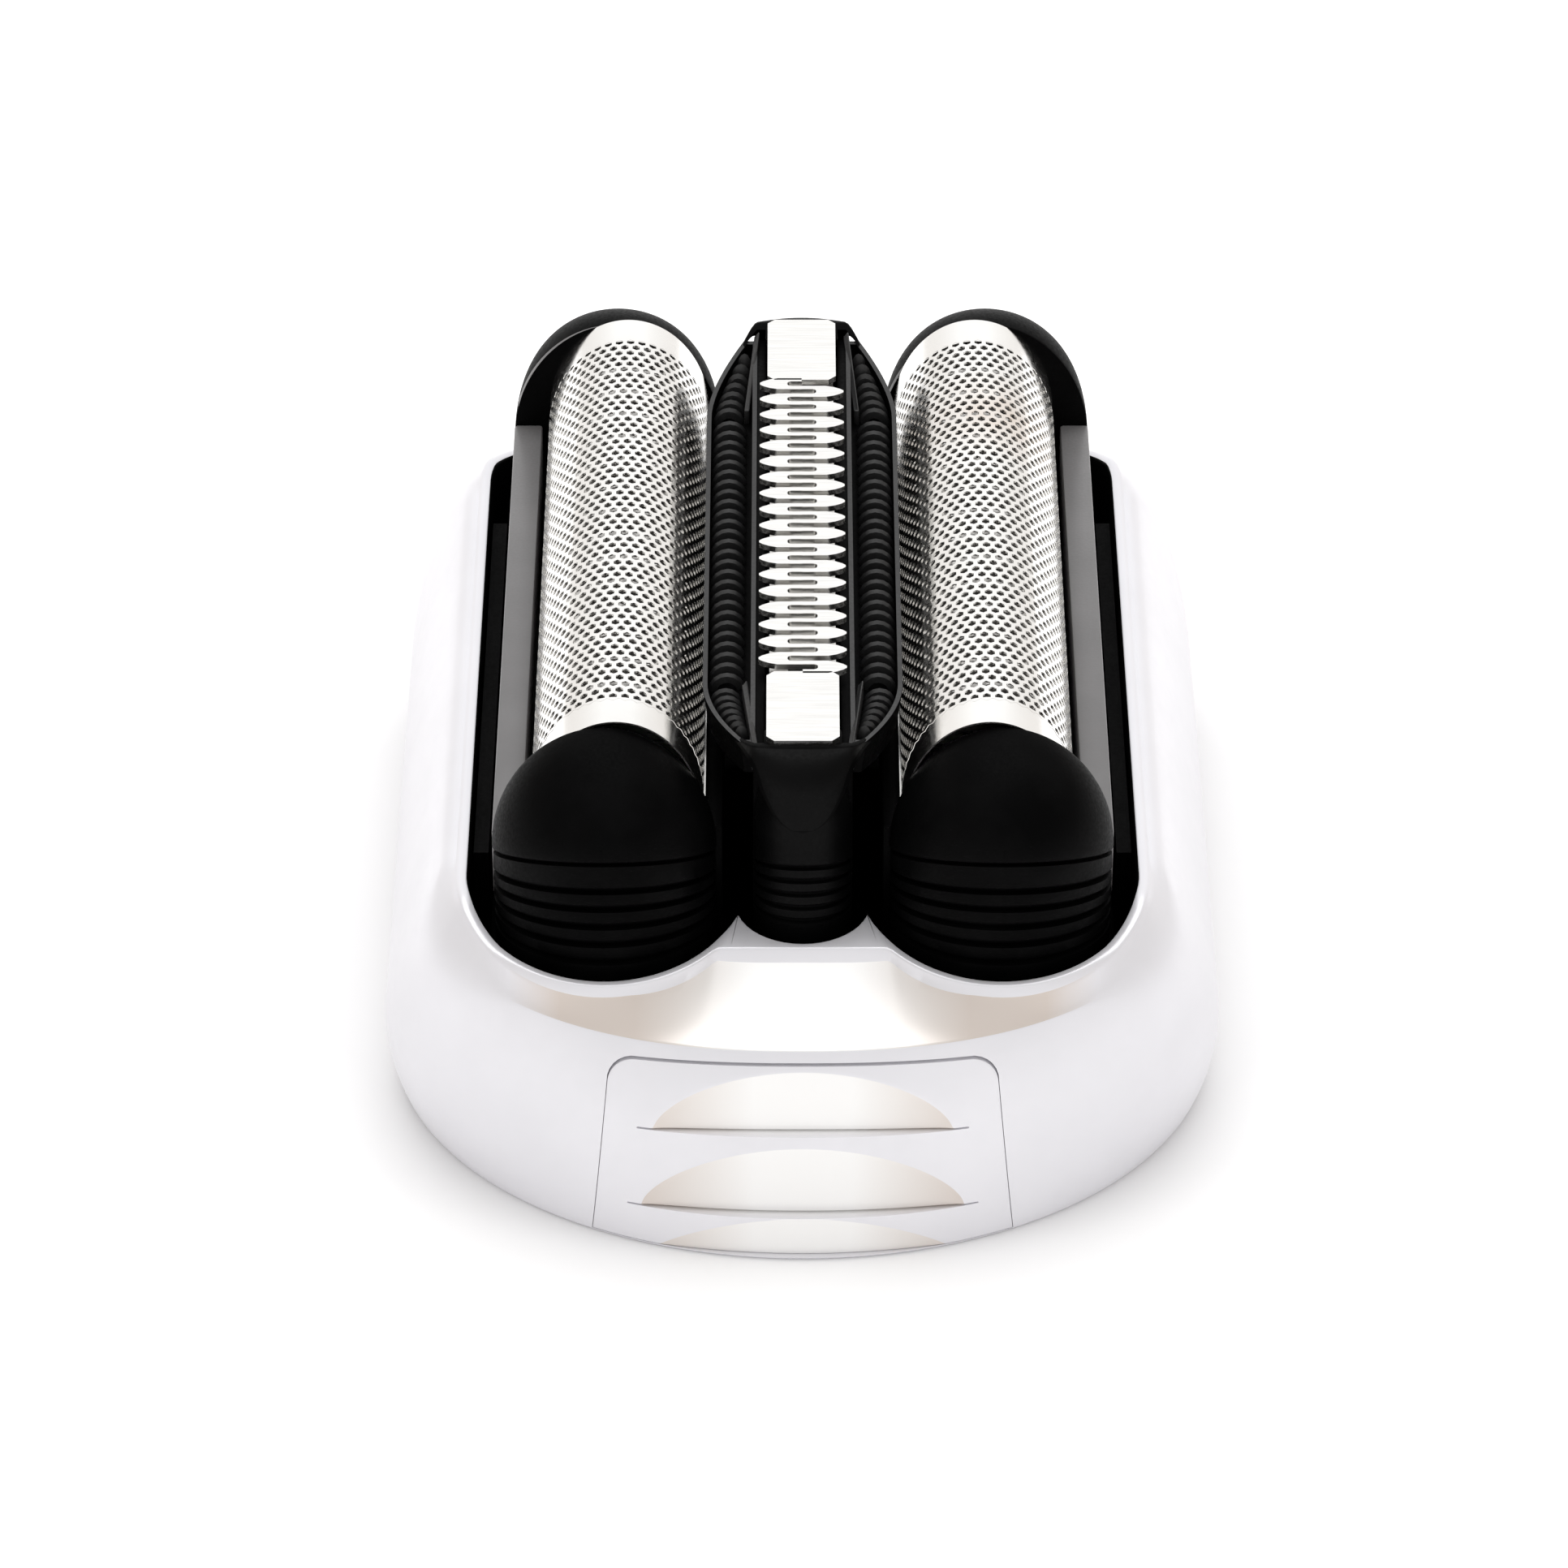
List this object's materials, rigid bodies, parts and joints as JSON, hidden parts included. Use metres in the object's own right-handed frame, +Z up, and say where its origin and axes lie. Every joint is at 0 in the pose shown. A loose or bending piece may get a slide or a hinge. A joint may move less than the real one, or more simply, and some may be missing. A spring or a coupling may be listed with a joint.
{
  "type": "shaver foil head",
  "caption": "Oval shaver head cassette with sprung perforated foil cartridges either side of a slotted trimmer, oscillating cutters beneath and finger-grip release panels.",
  "frame": {"origin": "middle of the base rim, on the plane that the cassette stands on", "axes": "+Y along the foils, +X across them, +Z up to the foil crests"},
  "size_m": [0.0398, 0.056, 0.0232],
  "materials": {
    "silver_shell": "pearl silver gloss",
    "black_plastic": "satin black",
    "foil_steel": "thin perforated steel",
    "blade_steel": "ground steel",
    "spring_steel": "bright"
  },
  "bodies": {
    "housing": {"housing_shell": "silver_shell", "inner_chassis": "black_plastic", "left_float_springs": "spring_steel", "right_float_springs": "spring_steel", "trimmer_float_springs": "spring_steel"},
    "front_button": {"front_release_button": "silver_shell"},
    "rear_button": {"rear_release_button": "silver_shell"},
    "trimmer_unit": {"trimmer_frame": "black_plastic", "trimmer_comb": "blade_steel"},
    "trimmer_drive": {"trimmer_blade": "blade_steel", "trimmer_slider": "black_plastic"},
    "left_foil_unit": {"left_foil_frame": "black_plastic", "left_foil": "foil_steel", "left_cutter_springs": "spring_steel"},
    "left_cutter": {"left_cutter_carrier": "black_plastic", "left_cutter_blades": "blade_steel"},
    "right_foil_unit": {"right_foil_frame": "black_plastic", "right_foil": "foil_steel", "right_cutter_springs": "spring_steel"},
    "right_cutter": {"right_cutter_carrier": "black_plastic", "right_cutter_blades": "blade_steel"}
  },
  "joints": [
    {"name": "left_foil_float", "type": "slide", "parent": "housing", "child": "left_foil_unit", "axis": [0, 0, -1], "range_m": [0, 0.002], "stiffness_N_per_m": 300, "springref_m": -0.001, "deforming": ["left_float_springs"]},
    {"name": "right_foil_float", "type": "slide", "parent": "housing", "child": "right_foil_unit", "axis": [0, 0, -1], "range_m": [0, 0.002], "stiffness_N_per_m": 300, "springref_m": -0.001, "deforming": ["right_float_springs"]},
    {"name": "trimmer_float", "type": "slide", "parent": "housing", "child": "trimmer_unit", "axis": [0, 0, -1], "range_m": [0, 0.002], "stiffness_N_per_m": 300, "springref_m": -0.001, "deforming": ["trimmer_float_springs"]},
    {"name": "left_cutter_drive", "type": "slide", "parent": "left_foil_unit", "child": "left_cutter", "axis": [0, 1, 0], "range_m": [-0.0012, 0.0012]},
    {"name": "right_cutter_drive", "type": "slide", "parent": "right_foil_unit", "child": "right_cutter", "axis": [0, 1, 0], "range_m": [-0.0012, 0.0012]},
    {"name": "trimmer_blade_drive", "type": "slide", "parent": "trimmer_unit", "child": "trimmer_drive", "axis": [0, 1, 0], "range_m": [-0.0012, 0.0012]},
    {"name": "front_button_press", "type": "slide", "parent": "housing", "child": "front_button", "axis": [0, 1, 0], "range_m": [0, 0.0006], "stiffness_N_per_m": 800, "springref_m": -0.0005},
    {"name": "rear_button_press", "type": "slide", "parent": "housing", "child": "rear_button", "axis": [0, -1, 0], "range_m": [0, 0.0006], "stiffness_N_per_m": 800, "springref_m": -0.0005}
  ]
}
